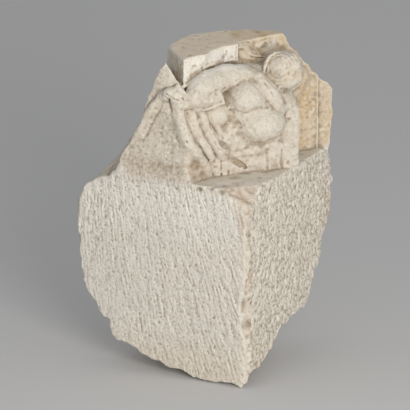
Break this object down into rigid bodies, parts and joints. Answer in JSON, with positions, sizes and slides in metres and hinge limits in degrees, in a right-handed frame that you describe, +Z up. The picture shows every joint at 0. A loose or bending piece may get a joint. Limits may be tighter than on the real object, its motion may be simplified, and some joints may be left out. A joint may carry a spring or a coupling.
{
  "type": "carved corbel",
  "caption": "Carved limestone corbel with a worn robed figure crouching under a broken slab, on a rough-dressed tail that builds into a wall.",
  "frame": {"origin": "middle of the flat back bed, halfway between the top bed and the broken foot", "axes": "+Z up as the stone stands in the picture, +Y out of the flat back bed, +X to the right of the carved front"},
  "size_m": [0.3484, 0.1905, 0.4277],
  "materials": {
    "limestone": "worn pale limestone, tooled on the left face, pitted on the right, ochre stain on the panel"
  },
  "bodies": {
    "root": {"corbel_stone": "limestone"}
  },
  "joints": []
}
